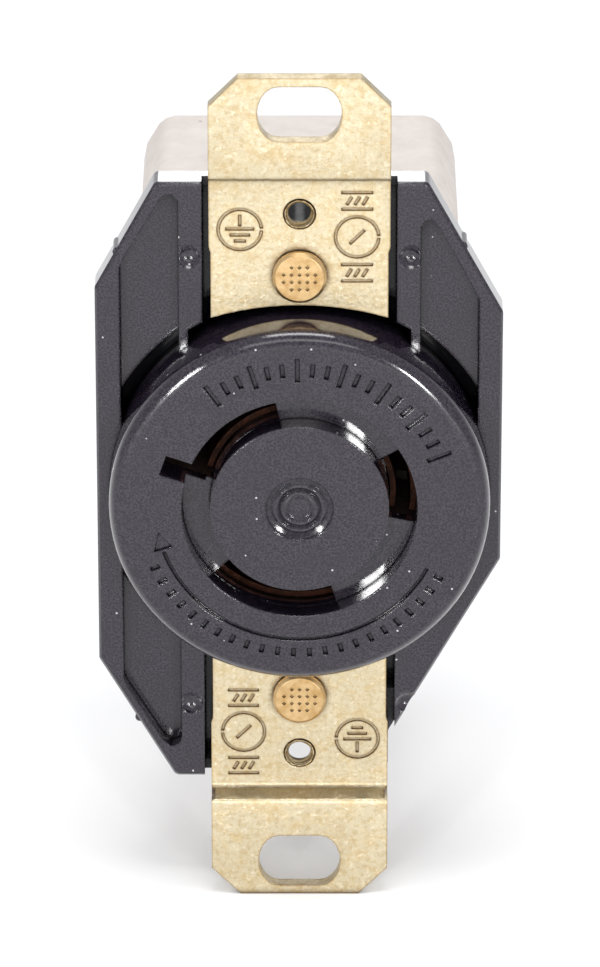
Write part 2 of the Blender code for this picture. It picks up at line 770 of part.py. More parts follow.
def spring_clip(name, made, start, end):
    """A steel U that backs up the two leaves of a contact."""
    near = LEAF_RADII[0] - GAP - CLIP_THICKNESS
    far = LEAF_RADII[1] + GAP + CLIP_THICKNESS
    back = CONTACT_BASE[1] + GAP
    clip = prism(name, sector(near, far, start, end), back, back + CLIP_THICKNESS + 0.1)
    for inner in (near, far - CLIP_THICKNESS):
        leaf = sector(inner, inner + CLIP_THICKNESS, start, end)
        join(clip, prism("leaf", leaf, CLIP_FRONT, back + 0.2))
    finish(clip, made)


def insulating_sheet(made):
    half = SHEET_HALF_WIDTH
    reach = math.degrees(math.acos(half / CARRIER_NECK_RADIUS))
    right = sector(0.0, CARRIER_NECK_RADIUS, reach, 180.0 - reach, 8.0)
    arc = right[: len(right) // 2]
    sheet = prism("insulating_sheet", arc + turned(arc), *SHEET)
    x0, x1 = GROUND_FOOT_X
    z0, z1 = GROUND_FOOT_Z
    opening = (x0 - GAP, x1 + GAP), (SHEET[0] - PAST, SHEET[1] + PAST), (z0 - GAP, z1 + GAP)
    cut(sheet, box("window", *opening))
    finish(sheet, made)


def ground_bar(made):
    half = GROUND_BAR_HALF_WIDTH
    end = quarter((0.0, RIVET_HEIGHT), half, GROUND_BAR_END, 0.0)
    end += quarter((0.0, RIVET_HEIGHT), half, GROUND_BAR_END, 90.0)[1:]
    strip = prism("ground_bar", end + turned(end), *GROUND_BAR)
    for sign in (1, -1):
        spot = (0.0, sign * RIVET_HEIGHT)
        cut(strip, tube("hole", RIVET_HOLE_RADIUS, 10.0, 15.0, spot, 24))
    finish(strip, made)


# ---------------------------------------------------------------- terminals


def terminal_screw(name, made, side, height):
    outer = -SCREW_HEAD[1]
    under = -SCREW_HEAD[0]
    edge = SCREW_HEAD_RADIUS
    profile = [(0, outer), (edge - 0.7, outer), (edge, outer + 0.6), (edge, under)]
    profile += [(SCREW_RADIUS, under), (SCREW_RADIUS, -SCREW_END - 0.6)]
    profile += [(SCREW_RADIUS - 0.5, -SCREW_END), (0, -SCREW_END)]
    screw = lathe(name, profile, count=24)
    cut(screw, box("slot", (-5.0, 5.0), (outer - PAST, outer + 1.0), (-0.5, 0.5)))
    cut(screw, box("cross", (-0.45, 0.45), (outer - PAST, outer + 1.4), (-1.9, 1.9)))
    side_axis(screw, side, height)
    set_origin(screw, side * SCREW_HEAD[0], TERMINAL_DEPTH, height)
    finish(screw, made)


def clamp_plate(name, made, side, height, wire_side):
    span = terminal_span(height, wire_side)
    depth = (TERMINAL_DEPTH - CLAMP_HALF_DEPTH, TERMINAL_DEPTH + CLAMP_HALF_DEPTH)
    plate = box(name, (side * CLAMP[0], side * CLAMP[1]), depth, span)
    ridges = []
    middle = height + wire_side * (TERMINAL_WIRE_SIDE + SCREW_HOLE_RADIUS) / 2
    for i in (-1, 0, 1):
        y = TERMINAL_DEPTH + 2.4 * i
        x = (side * (CLAMP[1] - 0.35), side * (CLAMP[1] + PAST))
        ridges.append(box("ridge", x, (y - 0.4, y + 0.4), (middle - 2.0, middle + 2.0)))
    cut(plate, *ridges)
    radius = SCREW_RADIUS + GAP
    hole = tube("hole", radius, -CLAMP[1] - PAST, -CLAMP[0] + PAST, count=24)
    side_axis(hole, side, height)
    cut(plate, hole)
    set_origin(plate, side * CLAMP[1], TERMINAL_DEPTH, height)
    finish(plate, made)


# ---------------------------------------------------------------- back body


def body_outline():
    points = BODY_UPPER_CORNER + [(-x, z) for x, z in reversed(BODY_UPPER_CORNER)]
    round_x, round_z = BODY_LOWER_CORNER
    centre = (round_x - BODY_HALF_WIDTH, BODY_BOTTOM + round_z)
    points += quarter(centre, round_x, round_z, 180.0)
    return points + BODY_CUT_CORNER


def terminal_chamber(side, height, wire_side):
    low, high = terminal_span(height, wire_side)
    clear = TERMINAL_CHAMBER_CLEARANCE
    near, far = TERMINAL_CHAMBER_X
    return rectangle(*sorted((side * near, side * far)), low - clear, high + clear)


def back_body(made):
    outline = body_outline()
    edge = BODY_BACK - BODY_EDGE
    rings = [(outline, BODY_FRONT), (outline, edge), (inset(outline, BODY_EDGE), BODY_BACK)]
    body = loft("back_body", rings)
    front = BODY_FRONT - PAST
    half = END_CHAMBER_HALF_WIDTH
    low, high = END_CHAMBER_Z
    upper = [(-half, low), (half, low), (half, 24.6), (12.6, high), (-12.6, high)]
    upper.append((-half, 24.6))
    lower = [(-half, -low), (-half, -24.6), (-12.6, -high), (6.6, -high), (11.2, -low)]
    cut(body, prisms("end_chambers", [upper, lower], front, END_CHAMBER_FLOOR))
    for sign in (1, -1):
        spot = (0.0, sign * RIVET_HEIGHT)
        floor = CENTRE_CHAMBER_FLOOR
        post = tube("post", RIVET_POST_RADIUS, floor, END_CHAMBER_FLOOR + 0.5, spot)
        join(body, post)
    chambers = [terminal_chamber(*place) for place in TERMINALS.values()]
    cut(body, prisms("terminal_chambers", chambers, front, TERMINAL_CHAMBER_FLOOR))
    floor = CENTRE_CHAMBER_FLOOR
    cut(body, tube("centre", CENTRE_CHAMBER_RADIUS, front, floor, count=48))
    way = GROUND_BAR_HALF_WIDTH + GAP
    cut(body, box("bar_way", (-way, way), (front, floor - 0.05), (-20.0, 20.0)))
    core_x, core_z = REAR_CORE_HALF
    core = rectangle(-core_x, core_x, -core_z, core_z)
    cut(body, prism("core", core, REAR_CORE_FLOOR, BODY_BACK + PAST))
    for sign in (1, -1):
        spot = (0.0, sign * RIVET_HEIGHT)
        past_back = BODY_BACK + PAST
        cut(body, tube("hole", RIVET_HOLE_RADIUS, front, past_back, spot, 24))
        start, radius = RIVET_WELL
        cut(body, tube("well", radius, start, past_back, spot, 32))
        spot = (0.0, sign * PLATE_HOLE_HEIGHT)
        radius, back = PLATE_SLEEVE
        cut(body, tube("relief", radius + GAP, front, back + GAP, spot, 24))
        cut(body, tube("relief", PLATE_SCREW_CLEARANCE, back, 16.0, spot, 24))
    for side, height, wire_side in TERMINALS.values():
        well = tube("well", SCREW_WELL_RADIUS, -BODY_HALF_WIDTH - PAST, -14.0)
        side_axis(well, side, height)
        cut(body, well)
        offsets = sorted(height + wire_side * offset for offset in WIRE_HOLE_OFFSET)
        across = sorted(side * x for x in WIRE_HOLE_X)
        hole = rectangle(*across, *offsets)
        wide = inset(hole, -0.9)
        start = TERMINAL_CHAMBER_FLOOR - 0.5
        rings = [(hole, start), (hole, BODY_BACK - 0.9), (wide, BODY_BACK)]
        cut(body, loft("wire_hole", rings + [(wide, BODY_BACK + PAST)]))
    finish(body, made)


# ---------------------------------------------------------------- the whole object


def clear_scene():
    for obj in list(bpy.data.objects):
        bpy.data.objects.remove(obj)


def build():
    clear_scene()
    black = material("black_nylon", (0.016, 0.014, 0.02), 0.0, 0.22)
    beige = material("beige_nylon", (0.66, 0.61, 0.57), 0.0, 0.45)
    brass = material("brass", (0.72, 0.57, 0.27), 0.9, 0.38)
    copper = material("copper_rivet", (0.74, 0.42, 0.17), 0.9, 0.36)
    contact_copper = material("contact_copper", (0.45, 0.2, 0.1), 0.9, 0.4)
    brown = material("brown_thermoset", (0.045, 0.024, 0.018), 0.0, 0.5)
    steel = material("spring_steel", (0.5, 0.5, 0.51), 1.0, 0.3)
    zinc = material("zinc_steel", (0.62, 0.62, 0.6), 1.0, 0.38)
    green = material("green_screw", (0.03, 0.22, 0.07), 0.6, 0.4)
    fibre = material("grey_fibre", (0.2, 0.18, 0.16), 0.0, 0.85)

    face_cover(black)
    strap("upper_strap", brass, turn=False)
    strap("lower_strap", brass, turn=True)
    for name, sign in (("upper", 1), ("lower", -1)):
        rivet(f"{name}_rivet", copper, sign * RIVET_HEIGHT)
        rear_washer(f"{name}_rivet_washer", zinc, sign * RIVET_HEIGHT)
    contact_carrier(brown)
    contact("ground_contact", contact_copper, GROUND_SLOT, 9.0)
    contact("line_1_contact", contact_copper, LINE_1_SLOT, 9.0)
    contact("line_2_contact", contact_copper, LINE_2_SLOT, 6.0)
    spring_clip("ground_spring_clip", steel, 115.0, 130.0)
    spring_clip("line_1_spring_clip", steel, -8.0, 14.0)
    spring_clip("line_2_spring_clip", steel, 250.0, 272.0)
    insulating_sheet(fibre)
    ground_bar(brass)
    for name, (side, height, wire_side) in TERMINALS.items():
        head = green if name == "ground" else brass
        terminal_screw(f"{name}_terminal_screw", head, side, height)
        clamp_plate(f"{name}_clamp_plate", zinc, side, height, wire_side)
    back_body(beige)


build()
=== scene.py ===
"""Studio scene of the flush-mount locking receptacle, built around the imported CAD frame.

Everything is in the frame of the CAD: Z up along the straps, Y back into the wall box, and
the plug axis through the origin. Blender works in metres. The constants and the pieces'
shapes are in millimetres, which MM turns into metres; sizes inside materials are in metres.
"""

import math

import bmesh
import bpy
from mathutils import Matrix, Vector, noise


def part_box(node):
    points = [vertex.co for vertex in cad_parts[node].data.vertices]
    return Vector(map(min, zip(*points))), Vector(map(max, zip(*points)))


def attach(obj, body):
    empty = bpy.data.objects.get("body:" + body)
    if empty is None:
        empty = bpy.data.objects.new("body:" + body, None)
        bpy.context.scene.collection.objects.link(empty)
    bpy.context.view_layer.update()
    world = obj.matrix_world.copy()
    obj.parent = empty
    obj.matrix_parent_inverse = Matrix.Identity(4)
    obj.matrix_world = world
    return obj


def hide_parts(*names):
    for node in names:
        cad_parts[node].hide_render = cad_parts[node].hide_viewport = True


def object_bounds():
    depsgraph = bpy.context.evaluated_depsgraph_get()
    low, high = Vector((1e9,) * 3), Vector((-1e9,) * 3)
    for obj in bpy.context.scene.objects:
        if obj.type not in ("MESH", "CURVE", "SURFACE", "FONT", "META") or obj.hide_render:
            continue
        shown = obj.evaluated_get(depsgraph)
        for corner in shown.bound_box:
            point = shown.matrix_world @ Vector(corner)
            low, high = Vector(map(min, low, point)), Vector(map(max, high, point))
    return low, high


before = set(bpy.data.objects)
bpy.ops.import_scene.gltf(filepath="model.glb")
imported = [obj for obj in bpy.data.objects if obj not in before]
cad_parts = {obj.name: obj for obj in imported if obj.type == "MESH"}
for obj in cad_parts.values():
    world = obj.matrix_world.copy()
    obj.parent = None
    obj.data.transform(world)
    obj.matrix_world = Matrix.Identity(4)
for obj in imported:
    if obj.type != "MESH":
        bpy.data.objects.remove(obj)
CAD_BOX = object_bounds()

MM = 0.001
ROOT = "receptacle"  # the body that stays still
PITCH = 0.79375  # of the 8-32 and 6-32 threads

# Places on the cover where painted shade darkens its material and turns it matt
BULLSEYE_RADIUS = 3.5
PLATE_HOLE_BORE_RADIUS = 2.25
MOAT_FRONT = 1.8
MOAT_RADIUS = 21.5
MOAT_HALF_WIDTH = 19.3

# Terminal screws
HEAD_THICKNESS = 2.4
HEAD_DOME = 0.28
HEAD_RINGS = 30
RING_POINTS = 96
SHANK_RADIUS = 2.05
THREAD_DEPTH = 0.42
THREAD_RINGS_PER_TURN = 12

# Tapped plate holes in the straps
PLATE_HOLE_SPACING = 60.325
PLATE_HOLE_RADIUS = 1.35
RIDGE_INSET = 0.15
RIDGE_HEIGHT = 0.2
RIDGE_RINGS_PER_TURN = 36
BURR_SECTIONS = 120
BURR_SIDES = 8

# Moulded details on the body's sides: distances from the body's back, and heights
RIB_COUNT = 4
RIB_START, RIB_STEP, RIB_WIDTH = 5.0, 2.0, 0.9
RIB_HEIGHTS = (-10.5, -4.5)
GAUGE_HEIGHTS = (-27.5, -15.7)
DETAIL_ROOT, DETAIL_PROUD = 0.2, 0.4


# ---------------------------------------------------------------- materials


class Nodes:
    """A material's node tree, with short names for the nodes used here."""

    def __init__(self, name):
        self.material = bpy.data.materials.new(name)
        self.material.use_nodes = True
        self.tree = self.material.node_tree
        self.shader = self.tree.nodes["Principled BSDF"]
        self.coords = self.add("TexCoord").outputs["Object"]

    def add(self, kind, **settings):
        node = self.tree.nodes.new("ShaderNode" + kind)
        for key, value in settings.items():
            setattr(node, key, value)
        return node

    def feed(self, value, socket):
        """Gives a socket another node's output, or a plain number, colour or vector."""
        if isinstance(value, bpy.types.NodeSocket):
            self.tree.links.new(value, socket)
        else:
            socket.default_value = value

    def shade(self, **values):
        """Feeds the shader's own sockets."""
        for key, value in values.items():
            self.feed(value, self.shader.inputs[key.replace("_", " ")])

    def noise(self, scale, detail=3.0, roughness=0.55, stretch=(1.0, 1.0, 1.0), offset=0.0):
        place = self.add("Mapping")
        texture = self.add("TexNoise")
        self.feed(stretch, place.inputs["Scale"])
        self.feed((offset, offset, offset), place.inputs["Location"])
        self.feed(self.coords, place.inputs["Vector"])
        self.feed(scale, texture.inputs["Scale"])
        self.feed(detail, texture.inputs["Detail"])
        self.feed(roughness, texture.inputs["Roughness"])
        self.feed(place.outputs["Vector"], texture.inputs["Vector"])
        return texture.outputs["Fac"]

    def ramp(self, value, low, high, to_low=0.0, to_high=1.0):
        spread = self.add("MapRange", interpolation_type="SMOOTHSTEP")
        self.feed(value, spread.inputs["Value"])
        self.feed(low, spread.inputs["From Min"])
        self.feed(high, spread.inputs["From Max"])
        self.feed(to_low, spread.inputs["To Min"])
        self.feed(to_high, spread.inputs["To Max"])
        return spread.outputs["Result"]

    def within(self, value, limit, fade):
        """1 below the limit, fading to 0 past it; both are in millimetres."""
        return self.ramp(value, limit * MM, (limit + fade) * MM, 1.0, 0.0)

    def mix(self, factor, first, second):
        """The second colour over the first, by this factor."""
        blend = self.add("Mix", data_type="RGBA")
        self.feed(factor, blend.inputs[0])
        for value, socket in ((first, blend.inputs[6]), (second, blend.inputs[7])):
            self.feed((*value, 1.0) if isinstance(value, tuple) else value, socket)
        return blend.outputs[2]

    def math(self, operation, first, second=0.0):
        node = self.add("Math", operation=operation)
        self.feed(first, node.inputs[0])
        self.feed(second, node.inputs[1])
        return node.outputs[0]

    def largest(self, first, *others):
        for other in others:
            first = self.math("MAXIMUM", first, other)
        return first

    def vector(self, operation, first, second=(0.0, 0.0, 0.0)):
        node = self.add("VectorMath", operation=operation)
        self.feed(first, node.inputs[0])
        self.feed(second, node.inputs[1])
        gives_number = operation in ("DISTANCE", "DOT_PRODUCT")
        return node.outputs["Value" if gives_number else "Vector"]

    def specks(self, scale, size, share):
        """1 inside small round specks: one per cell at most, in this share of the cells."""
        cells = self.add("TexVoronoi")
        self.feed(scale, cells.inputs["Scale"])
        self.feed(self.coords, cells.inputs["Vector"])
        near = self.ramp(cells.outputs["Distance"], size * 0.6, size, 1.0, 0.0)
        split = self.add("SeparateColor")
        self.feed(cells.outputs["Color"], split.inputs["Color"])
        chosen = self.math("LESS_THAN", split.outputs[0], share)
        return self.math("MULTIPLY", near, chosen)

    def crevice_shade(self, distance, low=0.35, high=0.85):
        """Where painted shade goes, by ambient occlusion: 1 deep in corners and grooves, 0 on
        open faces.
        """
        occlusion = self.add("AmbientOcclusion", samples=6)
        self.feed(distance, occlusion.inputs["Distance"])
        return self.ramp(occlusion.outputs["AO"], low, high, 1.0, 0.0)

    def rounded(self, radius):
        """The surface's normal, over edges that are rounded by this radius."""
        bevel = self.add("Bevel", samples=4)
        self.feed(radius, bevel.inputs["Radius"])
        return bevel.outputs["Normal"]

    def edge_shade(self, radius):
        """Where painted shade goes along edges: 1 along sharp outer and inner edges, 0 on open
        faces.
        """
        flat = self.add("NewGeometry").outputs["Normal"]
        agreement = self.vector("DOT_PRODUCT", self.rounded(radius), flat)
        return self.ramp(agreement, 0.75, 0.97, 1.0, 0.0)

    def surface(self, height, depth, edge=0.0):
        """Bump of this depth from a height, over edges that are rounded by this radius."""
        bump = self.add("Bump")
        self.feed(1.0, bump.inputs["Strength"])
        self.feed(depth, bump.inputs["Distance"])
        self.feed(height, bump.inputs["Height"])
        if edge:
            self.feed(self.rounded(edge), bump.inputs["Normal"])
        self.feed(bump.outputs["Normal"], self.shader.inputs["Normal"])


def black_nylon():
    """Glossy black plastic with dust on it, with painted shade that makes it dark and matt in
    corners, bores, the bullseye's rings and the moat.
    """
    m = Nodes("moulded_black_nylon")
    fine = m.ramp(m.noise(4200.0, 2.0, 0.7), 0.38, 0.62)
    broad = m.ramp(m.noise(420.0, 4.0, 0.6, offset=3.0), 0.35, 0.7, 0.0, 0.45)
    tint = m.mix(fine, (0.002, 0.001, 0.006), (0.030, 0.022, 0.033))
    tint = m.mix(broad, tint, (0.009, 0.007, 0.012))
    dust = m.specks(900.0, 0.12, 0.09)

    # Distances from the plug axis, from a plate hole's axis and from the middle plane
    across = m.vector("MULTIPLY", m.vector("ABSOLUTE", m.coords), (1.0, 0.0, 1.0))
    radius = m.vector("DISTANCE", across)
    plate_hole = (0.0, 0.0, PLATE_HOLE_SPACING * MM / 2)
    from_plate_hole = m.vector("DISTANCE", across, plate_hole)
    place = m.add("SeparateXYZ")
    m.feed(m.coords, place.inputs[0])
    aside = m.math("ABSOLUTE", place.outputs["X"])

    # The moat is the sunk ring round the face; painted shade goes there, in the plate hole bores
    # and in the bullseye's rings
    moat = m.ramp(place.outputs["Y"], MOAT_FRONT * MM, (MOAT_FRONT + 0.6) * MM)
    moat = m.math("MULTIPLY", m.within(aside, MOAT_HALF_WIDTH, 0.2), moat)
    moat = m.math("MULTIPLY", moat, m.within(radius, MOAT_RADIUS, 0.5))
    bore = m.within(from_plate_hole, PLATE_HOLE_BORE_RADIUS, 0.05)
    bullseye = m.math("MULTIPLY", m.within(radius, BULLSEYE_RADIUS, 0.2), 0.8)
    rings = m.math("MULTIPLY", m.crevice_shade(0.0006, 0.62, 0.97), bullseye)
    corners = m.math("MULTIPLY", m.crevice_shade(0.0004, 0.45, 0.85), 0.8)
    # Painted shade: near black and with little gloss in corners, the bullseye's rings, the moat
    # and the plate hole bores
    dark = m.largest(m.crevice_shade(0.0026, 0.12, 0.5), rings, corners, moat, bore)

    dusty = m.mix(dust, tint, (0.42, 0.40, 0.42))
    sheen = m.ramp(m.add("LayerWeight").outputs["Facing"], 0.2, 0.55, 0.0, 0.8)
    m.shade(
        Base_Color=m.mix(dark, dusty, (0.001, 0.001, 0.002)),
        Roughness=m.ramp(m.noise(900.0, 3.0, 0.6, offset=1.0), 0.25, 0.75, 0.07, 0.15),
        IOR=1.55,
        Specular_IOR_Level=m.ramp(dark, 0.0, 1.0, 0.53, 0.02),
        Coat_Weight=m.math("MULTIPLY", sheen, m.ramp(dark, 0.0, 1.0, 1.0, 0.0)),
        Coat_Roughness=0.06,
        Coat_IOR=1.8,
    )
    height = m.math("ADD", m.noise(1500.0, 3.0, 0.6, offset=5.0), m.math("MULTIPLY", dust, 0.8))
    m.surface(height, 0.000005, 0.00035)
    return m.material


def beige_nylon():
    m = Nodes("moulded_beige_nylon")
    cloudy = m.ramp(m.noise(260.0, 4.0, 0.6), 0.3, 0.7)
    colour = m.mix(cloudy, (0.57, 0.51, 0.467), (0.625, 0.568, 0.524))
    colour = m.mix(m.specks(480.0, 0.12, 0.06), colour, (0.36, 0.29, 0.23))
    # Painted shade: the colour goes dark brown in corners and grooves
    m.shade(
        Base_Color=m.mix(m.crevice_shade(0.0016), colour, (0.30, 0.24, 0.19)),
        Roughness=m.ramp(m.noise(800.0, 3.0, offset=2.0), 0.3, 0.7, 0.38, 0.55),
    )
    m.surface(m.noise(1300.0, 3.0, 0.6, offset=4.0), 0.00003, 0.0004)
    return m.material


def brass():
    """Rolled brass: stained and flecked, with painted shade along its edges and in its corners.
    """
    m = Nodes("rolled_brass")
    stain = m.ramp(m.noise(520.0, 6.0, 0.72), 0.40, 0.72)
    fleck = m.ramp(m.noise(2100.0, 3.0, 0.7, offset=9.0), 0.46, 0.66, 0.0, 0.55)
    shine = m.ramp(m.noise(1700.0, 2.0, 0.6, offset=12.0), 0.56, 0.72, 0.0, 0.5)
    grain = m.noise(900.0, 3.0, 0.6, stretch=(1.0, 1.0, 0.12), offset=7.0)
    colour = m.mix(stain, (0.62, 0.54, 0.375), (0.48, 0.38, 0.22))
    colour = m.mix(fleck, colour, (0.46, 0.335, 0.165))
    colour = m.mix(shine, colour, (0.80, 0.72, 0.56))
    # Painted shade: dark brown in the sharp inner edges, and a painted dark line along the outer
    # ones
    colour = m.mix(m.edge_shade(0.00035), colour, (0.26, 0.155, 0.05))
    # Painted shade: near black in corners and gaps, such as round the rivet heads
    m.shade(
        Base_Color=m.mix(m.crevice_shade(0.0009, 0.42, 0.95), colour, (0.075, 0.036, 0.012)),
        Roughness=m.ramp(m.math("ADD", stain, grain), 0.3, 1.4, 0.3, 0.48),
        Metallic=1.0,
    )
    height = m.math("ADD", m.noise(1300.0, 4.0, 0.7, offset=1.5), m.math("MULTIPLY", grain, 0.5))
    m.surface(height, 0.00007, 0.00014)
    return m.material


def plated(name, light, dark, rough=(0.28, 0.45)):
    m = Nodes(name)
    colour = m.mix(m.ramp(m.noise(900.0, 4.0, 0.65), 0.35, 0.7), light, dark)
    # Painted shade: the colour drops to a fifth of the dark tone in corners and gaps
    m.shade(
        Base_Color=m.mix(m.crevice_shade(0.0004), colour, tuple(0.2 * c for c in dark)),
        Roughness=m.ramp(m.noise(1600.0, 3.0, offset=2.0), 0.3, 0.7, *rough),
        Metallic=1.0,
    )
    m.surface(m.noise(2200.0, 3.0, offset=4.0), 0.00002, 0.0001)
    return m.material


def dull(name, light, dark, rough=(0.5, 0.75), grain=(1.0, 1.0, 1.0)):
    m = Nodes(name)
    m.shade(
        Base_Color=m.mix(m.ramp(m.noise(700.0, 5.0, 0.7, grain), 0.3, 0.7), light, dark),
        Roughness=m.ramp(m.noise(1200.0, 3.0, offset=2.0), 0.3, 0.7, *rough),
    )
    m.surface(m.noise(1800.0, 4.0, 0.7, grain, 4.0), 0.00006, 0.0001)
    return m.material


def floor_material():
    m = Nodes("pale_floor")
    cloudy = m.ramp(m.noise(6.0, 3.0), 0.3, 0.7)
    m.shade(
        Base_Color=m.mix(cloudy, (0.91, 0.91, 0.915), (0.93, 0.93, 0.932)),
        Roughness=m.ramp(m.noise(40.0, 2.0), 0.3, 0.7, 0.75, 0.85),
    )
    m.surface(m.noise(300.0, 2.0), 0.00005)
    return m.material


# ---------------------------------------------------------------- CAD nodes


def smooth_shading(sharpest=32.0):
    """A modifier's node group that shades faces smooth up to this angle between them."""
    group = bpy.data.node_groups.new("smooth_by_angle", "GeometryNodeTree")
    group.interface.new_socket("Geometry", in_out="INPUT", socket_type="NodeSocketGeometry")
    group.interface.new_socket("Geometry", in_out="OUTPUT", socket_type="NodeSocketGeometry")
    entry = group.nodes.new("NodeGroupInput")
    result = group.nodes.new("NodeGroupOutput")
    angle = group.nodes.new("GeometryNodeInputMeshEdgeAngle")
    gentle = group.nodes.new("FunctionNodeCompare")
    gentle.operation = "LESS_THAN"
    gentle.inputs[1].default_value = math.radians(sharpest)
    faces = group.nodes.new("GeometryNodeSetShadeSmooth")
    edges = group.nodes.new("GeometryNodeSetShadeSmooth")
    edges.domain = "EDGE"
    group.links.new(angle.outputs["Unsigned Angle"], gentle.inputs[0])
    group.links.new(entry.outputs[0], faces.inputs["Geometry"])
    group.links.new(faces.outputs[0], edges.inputs["Geometry"])
    group.links.new(gentle.outputs[0], edges.inputs["Shade Smooth"])
    group.links.new(edges.outputs[0], result.inputs[0])
    return group


def dress_frame(black, beige, yellow, green):
    """Gives every CAD node its finish, and shades its curved faces smooth."""
    copper = plated("copper_plating", (0.60, 0.42, 0.215), (0.46, 0.285, 0.115), (0.32, 0.45))
    # Painted shade: the contacts' copper is darkened nearly to black for the shade deep inside
    # the slots
    contact = plated("contact_copper", (0.04, 0.016, 0.010), (0.016, 0.009, 0.007), (0.45, 0.65))
    steel = plated("bright_steel", (0.62, 0.62, 0.63), (0.48, 0.48, 0.5), (0.2, 0.35))
    zinc = plated("zinc_plating", (0.66, 0.67, 0.66), (0.5, 0.51, 0.5), (0.3, 0.5))
    brown = dull("brown_thermoset", (0.05, 0.027, 0.02), (0.03, 0.017, 0.014))
    fibre = dull("grey_fibre", (0.24, 0.21, 0.18), (0.15, 0.13, 0.11), (0.8, 0.95), (1, 1, 0.2))
    finish_by_ending = {  # the first ending that fits counts
        "face_cover": black,
        "back_body": beige,
        "contact_carrier": brown,
        "insulating_sheet": fibre,
        "ground_bar": yellow,
        "ground_terminal_screw": green,
        "_strap": yellow,
        "_rivet": copper,
        "_washer": zinc,
        "_contact": contact,
        "_clip": steel,
        "_screw": yellow,
        "_plate": zinc,
    }
    group = smooth_shading()
    for name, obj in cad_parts.items():
        finish = next(m for ending, m in finish_by_ending.items() if name.endswith(ending))
        for place in obj.material_slots:
            place.material = finish
        weld = obj.modifiers.new("weld", "WELD")
        weld.merge_threshold = 0.002 * MM
        smooth = obj.modifiers.new("smooth", "NODES")
        smooth.node_group = group


# ---------------------------------------------------------------- fine pieces


def to_object(name, data, material, sharpest=35.0):
    """An object of this mesh data, shaded smooth up to this angle between faces."""
    bmesh.ops.recalc_face_normals(data, faces=data.faces)
    mesh = bpy.data.meshes.new(name)
    data.to_mesh(mesh)
    data.free()
    obj = bpy.data.objects.new(name, mesh)
    bpy.context.scene.collection.objects.link(obj)
    mesh.materials.append(material)
    mesh.shade_smooth()
    mesh.set_sharp_from_angle(angle=math.radians(sharpest))
    return obj


def put(obj, body):
    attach(obj, body)


def scaled(x, y, z):
    return (x * MM, y * MM, z * MM)


def skin(rings, closed):
    """Faces between rings of as many points each, and back to the first ring if closed."""
    data = bmesh.new()
    loops = [[data.verts.new(point) for point in ring] for ring in rings]
    following = loops[1:] + loops[:1] if closed else loops[1:]
    for low, high in zip(loops, following):
        for i in range(len(low)):
            j = (i + 1) % len(low)
            data.faces.new((low[i], low[j], high[j], high[i]))
    return data, loops


def stack(rings):
    """A closed solid through these rings of points, capped flat at both ends."""
    data, loops = skin(rings, closed=False)
    for loop, ring in ((loops[0], rings[0]), (loops[-1], rings[-1])):
        middle = data.verts.new(sum((Vector(p) for p in ring), Vector()) / len(ring))
        for i in range(len(loop)):
            data.faces.new((loop[i], loop[(i + 1) % len(loop)], middle))
    return data


def coil(rings):
    """A closed ring-shaped solid through these sections."""
    return skin(rings, closed=True)[0]


def step(value, width):
    """0 below 0, 1 above width, and a smooth rise between."""
    share = min(max(value / width, 0.0), 1.0)
    return share * share * (3 - 2 * share)


def head_depth(u, v):
    """How deep the combination slot and cross recess are at this point of a screw's head."""
    straight = 0.95 * step(0.52 - abs(v), 0.12)
    cross = 1.3 * step(0.47 - abs(u), 0.12) * step(1.95 - abs(v), 0.25)
    return max(straight, cross)


def terminal_screw(name, finish):
    """A binding head screw with its thread, over the CAD screw of the same terminal."""
    node = f"{name}_terminal_screw"
    low, high = (Vector(corner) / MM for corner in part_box(node))
    centre = (low + high) / 2
    side = 1 if centre.x > 0 else -1
    outer = max(abs(low.x), abs(high.x))
    tip = min(abs(low.x), abs(high.x))
    edge = (high.y - low.y) / 2
    shank_length = outer - HEAD_THICKNESS - tip

    def ring(radius_at, depth_at):
        """Points round the screw's axis: radius by angle, depth under its outer end by place."""
        points = []
        for i in range(RING_POINTS):
            angle = 2 * math.pi * i / RING_POINTS
            radius = radius_at(angle)
            u, v = radius * math.cos(angle), radius * math.sin(angle)
            points.append(scaled(side * (outer - depth_at(u, v)), centre.y + u, centre.z + v))
        return points

    def head_ring(radius, drop=0.0):
        """A ring on the domed head, with the recess pressed in."""

        def depth_at(u, v):
            dome = 0.02 + HEAD_DOME * (u * u + v * v) / edge**2
            return dome + drop + head_depth(u, v)

        return ring(lambda angle: radius, depth_at)

    def thread_ring(along):
        """A ring of the shank, this far under the head."""
        left = shank_length - along
        fade = step(along, 0.8) * step(left, 0.9)
        taper = 0.55 * (1 - step(left, 0.7))

        def radius_at(angle):
            phase = along / PITCH - side * angle / (2 * math.pi)
            crest = 0.5 + 0.5 * math.cos(2 * math.pi * phase)
            return SHANK_RADIUS - THREAD_DEPTH * (1 - crest**0.8 * fade) - taper

        return ring(radius_at, lambda u, v: HEAD_THICKNESS + along)

    rings = [head_ring((edge - 0.35) * i / HEAD_RINGS) for i in range(1, HEAD_RINGS + 1)]
    rings += [head_ring(edge - 0.12, 0.12), head_ring(edge, 0.3)]
    for radius, depth in (
        (edge, HEAD_THICKNESS - 0.25),
        (edge - 0.1, HEAD_THICKNESS),
        (SHANK_RADIUS - 0.3, HEAD_THICKNESS),
    ):
        rings.append(ring(lambda angle, r=radius: r, lambda u, v, d=depth: d))
    steps = int(shank_length / PITCH * THREAD_RINGS_PER_TURN)
    rings += [thread_ring(shank_length * i / steps) for i in range(1, steps + 1)]
    piece = to_object(f"{name}_binding_screw", stack(rings), finish, 50.0)
    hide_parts(node)
    put(piece, f"{name}_screw")


